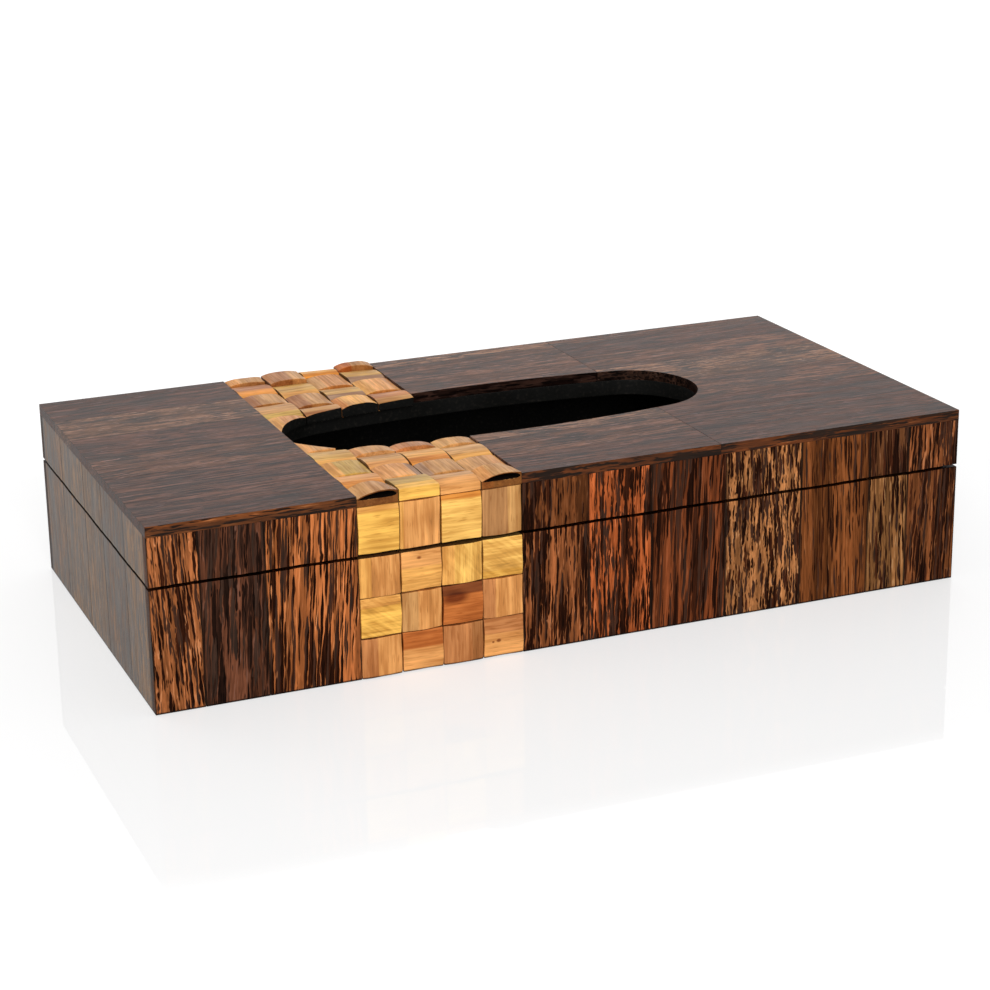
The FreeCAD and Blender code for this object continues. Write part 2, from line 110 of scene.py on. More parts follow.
def ease_edges(piece, width, segments=2):
    """Rounds every sharp edge as sandpaper does, and smooths the shading between them."""
    pick(piece)
    sand = piece.modifiers.new("sand", "BEVEL")
    sand.width = width
    sand.segments = segments
    sand.limit_method = "ANGLE"
    sand.angle_limit = SHARP_ANGLE
    bpy.ops.object.modifier_apply(modifier=sand.name)
    bpy.ops.object.shade_smooth_by_angle(angle=SHARP_ANGLE)
    even = piece.modifiers.new("even", "WEIGHTED_NORMAL")
    even.keep_sharp = True
    bpy.ops.object.modifier_apply(modifier=even.name)


def slot_plug(name, slide):
    """A black plug with the slot's outline, two end arcs and two long side arcs, to saw the slot with."""
    reach = SLOT_LENGTH / 2 - SLOT_END_RADIUS
    half = SLOT_WIDTH / 2
    side_radius = (reach ** 2 + half ** 2 - SLOT_END_RADIUS ** 2) / (2 * (half - SLOT_END_RADIUS))
    lean = math.atan2(reach, side_radius - half)
    bpy.ops.object.select_all(action="DESELECT")
    bpy.ops.mesh.primitive_circle_add(vertices=SLOT_POINTS, radius=1, fill_type="NGON")
    plug = bpy.context.object
    plug.name = name
    plug.data.materials.append(black_paint)
    for point in plug.data.vertices:
        across, along = point.co.y, point.co.x
        if abs(along) < math.sin(lean):
            side = math.copysign(1, across)
            point.co = (side_radius * along, side_radius * across - side * (side_radius - half), 0)
        else:
            end = math.copysign(reach, along)
            point.co = (SLOT_END_RADIUS * along + end, SLOT_END_RADIUS * across, 0)
        point.co += Vector((0, slide, SLOT_FOOT))
    bpy.ops.object.mode_set(mode="EDIT")
    bpy.ops.mesh.select_all(action="SELECT")
    bpy.ops.mesh.extrude_region_move(TRANSFORM_OT_translate={"value": (0, 0, SLOT_TOP - SLOT_FOOT)})
    bpy.ops.mesh.select_all(action="SELECT")
    bpy.ops.mesh.normals_make_consistent(inside=False)
    bpy.ops.object.mode_set(mode="OBJECT")
    return plug


def hinge_bed(side, half):
    """The shallow bed that one hinge leaf lies in, open to the back and to the seam."""
    low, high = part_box(f"hinge_{side}_{half}_leaf")
    bed_low = Vector((low[0] - BED_CLEARANCE, low[1] - BED_CLEARANCE, SEAM_HEIGHT - LEAF_SEAT))
    bed_high = Vector((high[0] + BED_CLEARANCE, high[1] + BED_OVERRUN, SEAM_HEIGHT + LEAF_SEAT))
    if half == "base":
        bed_high.z += BED_OVERRUN
    else:
        bed_low.z -= BED_OVERRUN
    return sawn_block(f"bed_{side}_{half}", bed_low, bed_high)


def shader_node(tree, kind, inputs=None, **settings):
    """A shader node with its settings made and its inputs set or linked."""
    node = tree.nodes.new("ShaderNode" + kind)
    for name, value in settings.items():
        setattr(node, name, value)
    for name, value in (inputs or {}).items():
        if isinstance(value, bpy.types.NodeSocket):
            tree.links.new(value, node.inputs[name])
        else:
            node.inputs[name].default_value = value
    return node


def spread(tree, value, start, end, low, high):
    """A value taken smoothly from one range to another."""
    inputs = {"Value": value, "From Min": start, "From Max": end, "To Min": low, "To Max": high}
    return shader_node(tree, "MapRange", inputs, interpolation_type="SMOOTHSTEP").outputs[0]


def vary(tree, value, low, high):
    """A range that follows noise, most of which lies about its middle."""
    return spread(tree, value, *NOISE_MIDDLE, low, high)


def vector_calc(tree, operation, first, second):
    """One sum on vectors."""
    return shader_node(tree, "VectorMath", {0: first, 1: second}, operation=operation).outputs[0]


def scaled(tree, first, second):
    """A colour or a place multiplied, each part by its own number."""
    return vector_calc(tree, "MULTIPLY", first, second)


def blend_colour(tree, share, first, second):
    """Two colours mixed."""
    return shader_node(tree, "Mix", {0: share, 6: first, 7: second}, data_type="RGBA").outputs[2]


def noise(tree, place, grid, detail, output=0):
    """Noise on a grid of so many cells to the metre each way. Its output 1 is a colour."""
    spot = scaled(tree, place, grid)
    return shader_node(tree, "TexNoise", {"Vector": spot, "Scale": 1.0, "Detail": detail}).outputs[output]


def new_material(name, **values):
    """A material with its principled shader, whose even values are set on its own sockets."""
    material = bpy.data.materials.new(name)
    material.use_nodes = True
    shader = material.node_tree.nodes["Principled BSDF"]
    for label, value in values.items():
        shader.inputs[label.replace("_", " ")].default_value = value
    return material, material.node_tree, shader.inputs


def bump(tree, height, strength, distance):
    """The normal of a fine relief."""
    inputs = {"Height": height, "Strength": strength, "Distance": distance}
    return shader_node(tree, "Bump", inputs).outputs["Normal"]


def link(tree, output, socket):
    """Leads an output to a socket."""
    tree.links.new(output, socket)


black_paint, tree, shader = new_material("black_paint", IOR=1.2)
spot = shader_node(tree, "TexCoord").outputs["Object"]
nap = noise(tree, spot, (900, 900, 900), detail=3)
cloud = noise(tree, spot, (60, 60, 60), detail=2)
worn = spread(tree, nap, 0.5, 0.8, 0, 1)
link(tree, blend_colour(tree, worn, PAINT_BLACK, PAINT_WORN), shader["Base Color"])
link(tree, vary(tree, cloud, 0.42, 0.62), shader["Roughness"])
link(tree, bump(tree, nap, 0.35, PAINT_RELIEF), shader["Normal"])

slot_cutter = slot_plug("slot_cutter", 0)
beds = {(side, half): hinge_bed(side, half) for side in ("left", "right") for half in ("base", "lid")}

for half, panel in (("base", "bottom_panel"), ("lid", "top_panel")):
    for name in [panel, *WALLS]:
        node = f"{half}_{name}"
        board = sawn_block(f"{half}_core_{name}", *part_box(node))
        board.data.materials.append(black_paint)
        if name == "top_panel":
            shape_with(board, slot_cutter)
        if name == "back_wall":
            shape_with(board, beds["left", half])
            shape_with(board, beds["right", half])
        ease_edges(board, BOARD_EASE)
        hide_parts(node)
        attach(board, half)


# Side cladding. Sawn strips of palm wood, dark fibre bundles in an orange ground, glued upright all round the
# box before it was sawn open, so that each strip's grain runs on from the base into the lid across the seam.
SIDE_EASE = 0.00014
SIDE_JOINT = 0.0005
MERGE = 0.00001
STRIP_CUTS = 7
GRAIN_ROOM = 3.0
GRAIN_STRETCH = (0.85, 1.15)
GRAIN_SLANT = (-0.06, 0.06)
FRONT_TURN = 0.5
UPRIGHT_TURN = 0.5
END_TURN = 0.8
SLOT_EDGE_STAIN = 0.97
TOP_END_STAIN = 0.3
# Painted shade along the bottom edge, where the box stands on the floor: full below the first height, gone
# above the second
FOOT_SHADOW_HEIGHTS = (0.0003, 0.0008)
# Near black: painted shade at the foot and in the tile tunnels and gaps, and glue and paint in the tiles'
# joints
SHADE_AND_STAIN_BLACK = (0.008, 0.005, 0.004, 1)
GLUE_COLOUR = (0.016, 0.010, 0.007, 1)
PALM_RELIEF = 0.00015

# How far the saw wandered along the seam, and the share and radians to the metre of its slow and quick waves
SAW_WANDER = 0.00014
SLOW_WAVE_SHARE = 0.6
SLOW_WAVE = 190
QUICK_WAVE_SHARE = 0.4
QUICK_WAVE = 1130
LID_LAG = 0.5

# Each kind of strip: ground colour, fibre colour, share of dark fibre at each side, shortness of the fleck
BLACK_FIBRE = (0.036, 0.0095, 0.0035)
PALM_TONES = {
    "orange": ((0.50, 0.152, 0.044), BLACK_FIBRE, (0.62, 0.50), 0.5),
    "amber": ((0.40, 0.130, 0.042), BLACK_FIBRE, (0.52, 0.48), 0.9),
    "red": ((0.43, 0.100, 0.027), BLACK_FIBRE, (0.58, 0.55), 0.95),
    "brown": ((0.200, 0.060, 0.0165), BLACK_FIBRE, (0.26, 0.32), 0.55),
    "tan": ((0.40, 0.157, 0.053), BLACK_FIBRE, (0.53, 0.57), 1.05),
    "olive": ((0.31, 0.130, 0.043), BLACK_FIBRE, (0.26, 0.46), 0.7),
    "rust": ((0.31, 0.096, 0.031), BLACK_FIBRE, (0.64, 0.48), 0.8),
    "char": ((0.16, 0.058, 0.021), BLACK_FIBRE, (0.60, 0.78), 0.6),
    "two_faced": ((0.150, 0.046, 0.014), BLACK_FIBRE, (0.95, -0.20), 0.8),
    "chestnut": ((0.23, 0.072, 0.023), BLACK_FIBRE, (0.44, 0.64), 0.7),
    "dark_red": ((0.20, 0.050, 0.0155), BLACK_FIBRE, (0.58, 0.54), 0.5),
    "ebony": ((0.125, 0.043, 0.021), (0.030, 0.012, 0.007), (0.54, 0.48), 0.65),
    "smoke": ((0.225, 0.118, 0.050), (0.085, 0.045, 0.020), (0.48, 0.48), 0.9),
    "dark": ((0.172, 0.084, 0.035), (0.055, 0.029, 0.013), (0.50, 0.50), 0.8),
}
GREY_FIBRE = (0.028, 0.020, 0.015, 1)
# Painted glints: the ground made paler along some lines and in a few slivers, as highlights on the lacquer
GLINT_TINT = (1.5, 1.9, 2.5)
SAWN_SHADE = (0.12, 0.10, 0.10)

# How far the grain strays to the side
PALM_SWEEP = 0.0030
PALM_WAVER = 0.0004
PALM_TEAR = 0.0009


def solid_boxes(node, axis):
    """Lowest and highest corner and all points of each solid in a CAD node, in order along an axis."""
    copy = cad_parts[node].copy()
    copy.data = copy.data.copy()
    bpy.context.collection.objects.link(copy)
    pick(copy)
    bpy.ops.object.mode_set(mode="EDIT")
    bpy.ops.mesh.select_all(action="SELECT")
    bpy.ops.mesh.remove_doubles(threshold=MERGE)
    bpy.ops.mesh.separate(type="LOOSE")
    bpy.ops.object.mode_set(mode="OBJECT")
    boxes = []
    for solid in bpy.context.selected_objects:
        points = [point.co.copy() for point in solid.data.vertices]
        low, high = (Vector(end(point[i] for point in points) for i in range(3)) for end in (min, max))
        boxes.append((low, high, points))
    bpy.ops.object.delete()
    return sorted(boxes, key=lambda box: box[0]["xyz".index(axis)])


def subdivide(piece, cuts):
    """Divides a block's edges, so that its faces can be bent."""
    pick(piece)
    bpy.ops.object.mode_set(mode="EDIT")
    bpy.ops.mesh.select_all(action="SELECT")
    bpy.ops.mesh.subdivide(number_cuts=cuts)
    bpy.ops.object.mode_set(mode="OBJECT")


def keep(piece, name, kind, values, domain="POINT"):
    """Keeps values in a piece's mesh, under a name that its material reads."""
    key = {"FLOAT": "value", "FLOAT_VECTOR": "vector", "FLOAT_COLOR": "color"}[kind]
    piece.data.attributes.new(name, kind, domain).data.foreach_set(key, values)


def lay_grain(piece, axes, seed, stretch=1.0, slant=0.0):
    """Keeps each point's place in the wood it was sawn from: across the grain, into it and along it."""
    across, depth, along = ("xyz".index(axis) for axis in axes)
    dice = random.Random(seed)
    start = [dice.uniform(0, GRAIN_ROOM) for _ in range(3)]
    values = []
    for point in piece.data.vertices:
        spot = point.co
        values += [start[0] + spot[across] + slant * spot[along], start[1] + spot[depth],
                   start[2] + stretch * spot[along]]
    keep(piece, "grain", "FLOAT_VECTOR", values)


def tint(piece, name, colour, front=None):
    """Keeps one colour for a whole piece, or another one for its front face."""
    values = []
    for face in piece.data.polygons:
        facing = front is not None and face.normal.y < -FRONT_TURN
        values += [*(front if facing else colour), 1.0] * face.loop_total
    keep(piece, name, "FLOAT_COLOR", values, "CORNER")


def mark_faces(piece, name, measure):
    """Keeps a number for each face of a piece."""
    keep(piece, name, "FLOAT", [float(measure(face)) for face in piece.data.polygons], "FACE")


def join_pieces(name, pieces):
    """Glues like pieces into one."""
    bpy.ops.object.select_all(action="DESELECT")
    for piece in pieces:
        piece.select_set(True)
    bpy.context.view_layer.objects.active = pieces[0]
    bpy.ops.object.join()
    pieces[0].name = pieces[0].data.name = name
    return pieces[0]


def calc(tree, operation, first, second=0.0):
    """One sum on values."""
    return shader_node(tree, "Math", {0: first, 1: second}, operation=operation).outputs[0]


def times(tree, first, second):
    """Two values multiplied."""
    return calc(tree, "MULTIPLY", first, second)


def cells(tree, place, grid):
    """Distance to the nearest of scattered points, so many to the metre each way, and that point's dice."""
    spot = scaled(tree, place, grid)
    node = shader_node(tree, "TexVoronoi", {"Vector": spot, "Scale": 1.0})
    dice = shader_node(tree, "SeparateColor", {0: node.outputs["Color"]})
    return node.outputs["Distance"], dice.outputs[0]


def sway(tree, place, grid, reach):
    """A place pushed a little to the side, so that what is laid on it wanders."""
    push = noise(tree, place, grid, detail=1, output=1)
    push = vector_calc(tree, "SUBTRACT", push, (0.5, 0.5, 0.5))
    return vector_calc(tree, "ADD", place, scaled(tree, push, (reach, reach, 0)))


def new_group(name, takes, gives):
    """A shader node group with named sockets."""
    group = bpy.data.node_groups.new(name, "ShaderNodeTree")
    for label, kind in takes.items():
        group.interface.new_socket(label, in_out="INPUT", socket_type="NodeSocket" + kind)
    for label, kind in gives.items():
        group.interface.new_socket(label, in_out="OUTPUT", socket_type="NodeSocket" + kind)
    return group, group.nodes.new("NodeGroupInput").outputs, group.nodes.new("NodeGroupOutput").inputs


def wood_figure(tree, group):
    """A figure of wood in a material, each of its inputs fed by what a piece keeps under that name."""
    figure = shader_node(tree, "Group", node_tree=group)
    outputs = {"VECTOR": "Vector", "RGBA": "Color", "VALUE": "Fac"}
    for socket in figure.inputs:
        kept = shader_node(tree, "Attribute", attribute_name=socket.name.lower().replace(" ", "_"))
        link(tree, kept.outputs[outputs[socket.type]], socket)
    return figure.outputs


palm_fibre, taken, given = new_group(
    "palm_fibre",
    {"Grain": "Vector", "Ground": "Color", "Fibre": "Color", "Dark Share": "Float", "Edge": "Vector",
     "Sawn": "Float"},
    {"Color": "Color", "Dark": "Float", "Height": "Float"},
)
tree = palm_fibre

# The grain sweeps slowly, wavers, and is torn where fibres end
bent = sway(tree, taken["Grain"], (90, 90, 16), PALM_SWEEP)
bent = sway(tree, bent, (700, 700, 110), PALM_WAVER)
torn = sway(tree, bent, (900, 900, 300), PALM_TEAR)

# Dark fibre grows in crowds, as spindle-shaped bundles with finer hairs between them
spindles, bundle = cells(tree, torn, (1150, 1150, 85))
hairs, _ = cells(tree, torn, (1750, 1750, 70))
crowd = noise(tree, bent, (190, 190, 30), detail=1)
limit = calc(tree, "ADD", times(tree, taken["Dark Share"], 0.54), 0.22)
limit = calc(tree, "ADD", limit, vary(tree, crowd, -0.12, 0.12))
beside = calc(tree, "SUBTRACT", spindles, limit)
thin = calc(tree, "MAXIMUM", calc(tree, "SUBTRACT", limit, 0.17), 0.25)
thin = spread(tree, calc(tree, "SUBTRACT", hairs, thin), -0.04, 0.04, 1, 0)
dark = calc(tree, "MAXIMUM", spread(tree, beside, -0.03, 0.03, 1, 0), thin)

# The ground between them has bands, lines and clouds, is deeper beside a bundle, and has pale lines that are
# painted glints
band = noise(tree, bent, (380, 380, 13), detail=2)
line = noise(tree, torn, (2000, 2000, 130), detail=1)
cloud = noise(tree, taken["Grain"], (70, 70, 12), detail=1)
light = times(tree, vary(tree, band, 0.58, 1.30), vary(tree, line, 0.66, 1.18))
light = times(tree, light, spread(tree, beside, 0, 0.14, 0.65, 1))
light = times(tree, light, vary(tree, cloud, 0.80, 1.20))
ground = scaled(tree, taken["Ground"], light)
glint_colour = scaled(tree, taken["Ground"], GLINT_TINT)
ground = blend_colour(tree, spread(tree, line, 0.60, 0.75, 0, 0.8), ground, glint_colour)

# Each bundle is darker or lighter than the next, some are grey, and a few pale slivers, painted glints, lie
# over all
depth = spread(tree, line, 0.25, 0.75, 0.4, 1.6)
depth = times(tree, depth, spread(tree, bundle, 0.2, 1, 0.35, 2.1))
fibre = scaled(tree, taken["Fibre"], depth)
fibre = blend_colour(tree, spread(tree, bundle, 0.6, 0.8, 0, 0.6), fibre, GREY_FIBRE)
wood = blend_colour(tree, dark, ground, fibre)
glint_spots, luck = cells(tree, torn, (1300, 1300, 110))
chosen = spread(tree, luck, 0.955, 0.96, 0, 1)
glint_share = times(tree, chosen, spread(tree, glint_spots, 0.14, 0.24, 0.75, 0))
wood = blend_colour(tree, glint_share, wood, glint_colour)

# Glue darkens the long edges, here more and there less, and sawn ends are dark
edge = shader_node(tree, "SeparateXYZ", {0: taken["Edge"]}).outputs
inset = calc(tree, "SUBTRACT", edge["Y"], calc(tree, "ABSOLUTE", edge["X"]))
inset = calc(tree, "DIVIDE", inset, edge["Z"])
patchy = spread(tree, band, 0.3, 0.55, 0.4, 1)
joint = times(tree, spread(tree, inset, 0.4, 1, 0.85, 0), patchy)
wood = blend_colour(tree, joint, wood, GLUE_COLOUR)
end_wood = scaled(tree, wood, SAWN_SHADE)
link(tree, blend_colour(tree, taken["Sawn"], wood, end_wood), given["Color"])
link(tree, dark, given["Dark"])
link(tree, calc(tree, "ADD", times(tree, dark, 0.6), line), given["Height"])


def shaded_foot(tree, colour):
    """A colour darkened towards black along the bottom edge: painted shade where the box stands on the floor.
    """
    spot = shader_node(tree, "TexCoord").outputs["Object"]
    height = shader_node(tree, "SeparateXYZ", {0: spot}).outputs["Z"]
    return blend_colour(tree, spread(tree, height, *FOOT_SHADOW_HEIGHTS, 0.9, 0), colour, SHADE_AND_STAIN_BLACK)


def palm_material(name, gloss):
    """Palm wood under more or less lacquer."""
    material, tree, shader = new_material(name, IOR=gloss)
    fibres = wood_figure(tree, palm_fibre)
    # Painted shade along the bottom edge
    link(tree, shaded_foot(tree, fibres["Color"]), shader["Base Color"])
    link(tree, spread(tree, fibres["Dark"], 0, 1, 0.46, 0.36), shader["Roughness"])
    link(tree, bump(tree, fibres["Height"], 0.25, PALM_RELIEF), shader["Normal"])
    return material


def saw_apart(strip, low, high, run):
    """Lets a strip's edge along the seam wander as the saw did that parted lid and base."""
    subdivide(strip, STRIP_CUTS)
    in_base = high[2] < SEAM_HEIGHT
    sawn_edge, lag = (high[2], 0) if in_base else (low[2], LID_LAG)
    for point in strip.data.vertices:
        if abs(point.co.z - sawn_edge) < MERGE:
            slow = SLOW_WAVE_SHARE * math.sin(SLOW_WAVE * point.co[run] + lag)
            quick = QUICK_WAVE_SHARE * math.sin(QUICK_WAVE * point.co[run] - lag)
            point.co.z += SAW_WANDER * (slow + quick)


def palm_strip(name, low, high, axes, tone, seed, joint, ease, cutters, material):
    """One strip of palm wood, cut out where it has to be, its edges eased and its joints dark with glue."""
    across, _, along = ("xyz".index(axis) for axis in axes)
    strip = sawn_block(name, low, high)
    strip.data.materials.append(material)
    if axes[2] == "z":
        saw_apart(strip, low, high, across)
    for cutter in cutters:
        shape_with(strip, cutter)
    ease_edges(strip, ease)
    dice = random.Random(seed)
    tone, _, front_tone = tone.partition("/")
    ground, fibre, (first, last), shortness = PALM_TONES[tone]
    front_ground, front_fibre, _, _ = PALM_TONES[front_tone or tone]
    stretch = shortness * dice.uniform(*GRAIN_STRETCH)
    lay_grain(strip, axes, seed, stretch, slant=dice.uniform(*GRAIN_SLANT))
    tint(strip, "ground", ground, front_ground)
    tint(strip, "fibre", fibre, front_fibre)
    middle, half_width = (low[across] + high[across]) / 2, (high[across] - low[across]) / 2
    edges, shares = [], []
    for point in strip.data.vertices:
        offset = point.co[across] - middle
        edges += [offset, half_width, joint]
        shares.append((first + last) / 2 + (last - first) * offset / half_width / 2)
    keep(strip, "edge", "FLOAT_VECTOR", edges)
    keep(strip, "dark_share", "FLOAT", shares)

    def sawn(face):
        spot = face.center
        in_slot = axes[1] == "z" and abs(spot.x) < SLOT_LENGTH / 2 and abs(spot.y) < SLOT_WIDTH / 2
        if in_slot and abs(face.normal.z) < UPRIGHT_TURN:
            return SLOT_EDGE_STAIN
        return (TOP_END_STAIN if axes[1] == "z" else 1.0) * (abs(face.normal[along]) > END_TURN)

    mark_faces(strip, "sawn", sawn)
    return strip


def palm_field(node, axes, tones, joint, ease, cutters, material, glue=0.0):
    """All the strips of one field of cladding, which stand for one CAD node. Glue closes their slits."""
    half, *words = node.split("_")
    across = "xyz".index(axes[0])
    boxes = solid_boxes(node, axes[0])
    strips = []
    for number, (low, high, _) in enumerate(boxes):
        low[across] -= glue if number > 0 else 0
        high[across] += glue if number + 1 < len(boxes) else 0
        name, seed, tone = f"{node}_{number}", f"{words} {number}", tones[number]
        strips.append(palm_strip(name, low, high, axes, tone, seed, joint, ease, cutters, material))
    field = join_pieces(node.replace("strips", "cladding"), strips)
    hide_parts(node)
    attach(field, half)


SIDE_FIELDS = {
    "front_strips_left": ["amber", "ebony", "orange"],
    "front_strips_right": ["rust", "red", "dark_red", "tan", "brown", "olive", "chestnut"],
    "back_strips_left": ["dark_red", "tan", "amber"],
    "back_strips_right": ["orange", "ebony", "brown", "red", "dark_red", "tan"],
    "left_end_strips": ["smoke", "dark", "smoke", "smoke", "dark"],
    "right_end_strips": ["chestnut", "dark_red", "tan", "amber", "rust"],
}
# Three of these strips are of another length of wood in the lid than in the base
LID_FRONT_RIGHT = ["two_faced", "red", "dark_red", "tan", "brown", "char", "rust"]
face_palm = palm_material("face_palm", 1.09)
end_palm = palm_material("end_palm", 1.26)
for half in ("base", "lid"):
    for field, tones in SIDE_FIELDS.items():
        node = f"{half}_{field}"
        axes, material = ("yxz", end_palm) if "end" in field else ("xyz", face_palm)
        cutters = [beds[field.split("_")[-1], half]] if field.startswith("back") else []
        if node == "lid_front_strips_right":
            tones = LID_FRONT_RIGHT
        palm_field(node, axes, tones, SIDE_JOINT, SIDE_EASE, cutters, material)


# Top cladding. The same palm wood lies along the lid in three fields: left of the tile band, right of it as
# far as a butt joint, and past that. It reaches out over the side strips, and the slot is sawn through it.
TOP_JOINT = 0.00012
TOP_EASE = 0.00005
TOP_GLUE = 0.00006
PALM_TONES |= {
    "edge": ((0.56, 0.160, 0.040), BLACK_FIBRE, (0.48, 0.48), 0.45),
    "dark_edge": ((0.46, 0.118, 0.028), BLACK_FIBRE, (0.48, 0.48), 0.45),
    "dusk": ((0.195, 0.096, 0.064), (0.050, 0.022, 0.015), (0.46, 0.46), 1.0),
    "plum": ((0.145, 0.070, 0.050), (0.048, 0.020, 0.014), (0.50, 0.50), 0.9),
    "bark": ((0.270, 0.142, 0.090), (0.052, 0.026, 0.018), (0.42, 0.42), 1.2),
}
# The strips of each field from the front edge back. A tone after a stroke is that of the strip's front edge.
TOP_FIELDS = {
    "lid_top_strips_left": ["plum/edge", "plum", "dusk", "plum", "bark", "plum"],
    "lid_top_strips_inner": ["plum/dark_edge", "dusk", "bark", "dusk", "dusk", "bark"],
    "lid_top_strips_outer": ["plum/dark_edge", "plum", "dusk", "bark", "dusk", "plum", "dusk"],
}
top_palm = palm_material("top_palm", 1.14)
for node, tones in TOP_FIELDS.items():
    cutters = [] if node.endswith("left") else [slot_cutter]
    palm_field(node, "yzx", tones, TOP_JOINT, TOP_EASE, cutters, top_palm, TOP_GLUE)


# Face tiles. Small blocks of light hardwood in a basket weave, four across, on the front and the back. Each
# has one arched face, its crest turned by a quarter from tile to tile, and is glued on the core board.
TILE_CUTS = 9
TILE_EASE = 0.0003
TILE_LEAN = 0.0002
TILE_WANDER = 0.00013
TILE_WAVE = 3.4
TILE_RELIEF = 0.0001
FACE_TILE_RISE = 0.0006
FACE_TURN = 0.6
FACE_GLUE_AND_SHADE = (0.1, 0.5)
FACE_END_TONE = 0.6
SEAM_STAIN = 0.85
SEAM_REACH = 0.0009
PAINT_RUNS = 2
PAINT_RUN_TURN = 0.3
PLAIN_FIGURE = 0.05
FLAWLESS = 9.0

TILE_TONES = {
    "gold": (0.88, 0.48, 0.096),
    "straw": (0.90, 0.51, 0.125),
    "honey": (0.80, 0.39, 0.098),
    "wheat": (0.66, 0.37, 0.100),
    "tan": (0.75, 0.342, 0.106),
    "clay": (0.53, 0.21, 0.070),
    "fawn": (0.58, 0.29, 0.10),
    "rose": (0.58, 0.29, 0.105),
    "amber": (0.74, 0.28, 0.05),
    "brown": (0.42, 0.17, 0.055),
    "walnut": (0.42, 0.198, 0.072),
    "russet": (0.54, 0.16, 0.036),
    "umber": (0.22, 0.06, 0.016),
    "olive": (0.56, 0.34, 0.085),
    "lilac": (0.42, 0.24, 0.14),
    "beige": (0.62, 0.32, 0.108),
}
WARM_SHADE = (1.0, 0.88, 0.76)
BURNT_SHADE = (0.30, 0.17, 0.11)
TILE_END_SHADE = (0.50, 0.34, 0.20)

# How far the grain and the sap's border stray, and the ripple's slant
TILE_SWEEP = 0.0012
RIPPLE_SLANT = math.radians(38)
SAP_STRAY = 0.0014
SAP_BORDER = (0.0003, 0.0011)

tile_grain, taken, given = new_group(
    "tile_grain",
    {"Grain": "Vector", "Heart": "Color", "Sap": "Color", "Sap Edge": "Float", "Figure": "Float",
     "Flaw": "Vector", "Second Flaw": "Vector", "End": "Float", "Hollow": "Float"},
    {"Color": "Color", "Height": "Float"},
)
tree = tile_grain

# Lines, bands and pores run along the grain, clouds lie over it and a ripple crosses it aslant
bent = sway(tree, taken["Grain"], (60, 60, 20), TILE_SWEEP)
lines = noise(tree, bent, (1500, 1500, 75), detail=2)
bands = noise(tree, bent, (420, 420, 30), detail=2)
pores = noise(tree, bent, (2400, 2400, 240), detail=0)
cloud = noise(tree, taken["Grain"], (110, 110, 70), detail=2)
slant = {"Vector": taken["Grain"], "Angle": RIPPLE_SLANT}
aslant = shader_node(tree, "VectorRotate", slant, rotation_type="Y_AXIS").outputs[0]
ripple = noise(tree, aslant, (850, 300, 110), detail=1)
light = times(tree, vary(tree, lines, 0.86, 1.12), vary(tree, bands, 0.81, 1.15))
light = times(tree, light, vary(tree, cloud, 0.84, 1.14))
light = times(tree, light, spread(tree, pores, 0.2, 0.36, 0.78, 1.0))
shimmer = times(tree, calc(tree, "SUBTRACT", ripple, 0.5), taken["Figure"])
light = times(tree, light, calc(tree, "ADD", shimmer, 1.0))

# Heartwood meets sapwood at a ragged border, and both are warmer where they are dark
edge = calc(tree, "ADD", taken["Sap Edge"], times(tree, bands, SAP_STRAY))
wood = blend_colour(tree, spread(tree, edge, *SAP_BORDER, 0, 1), taken["Heart"], taken["Sap"])
wood = scaled(tree, wood, light)
warm = scaled(tree, wood, WARM_SHADE)
wood = blend_colour(tree, spread(tree, light, 0.72, 1.02, 1, 0), wood, warm)

# Knots and smudges are burnt brown, ends are deeper, and hollows and gaps are near black: painted shade, with
# glue and paint in the joints
burnt = scaled(tree, wood, BURNT_SHADE)
stray = times(tree, calc(tree, "SUBTRACT", bands, 0.5), 0.9)
for flaw in ("Flaw", "Second Flaw"):
    reach = shader_node(tree, "VectorMath", {0: taken[flaw]}, operation="LENGTH").outputs["Value"]
    reach = calc(tree, "ADD", reach, stray)
    wood = blend_colour(tree, spread(tree, reach, 0.3, 1, 0.9, 0), wood, burnt)
end_wood = scaled(tree, wood, TILE_END_SHADE)
wood = blend_colour(tree, taken["End"], wood, end_wood)
link(tree, blend_colour(tree, taken["Hollow"], wood, SHADE_AND_STAIN_BLACK), given["Color"])
link(tree, lines, given["Height"])

tile_wood, tree, shader = new_material("tile_wood", IOR=1.2)
grained = wood_figure(tree, tile_grain)
# Painted shade along the bottom edge
link(tree, shaded_foot(tree, grained["Color"]), shader["Base Color"])
link(tree, vary(tree, grained["Height"], 0.50, 0.35), shader["Roughness"])
link(tree, bump(tree, grained["Height"], 0.2, TILE_RELIEF), shader["Normal"])


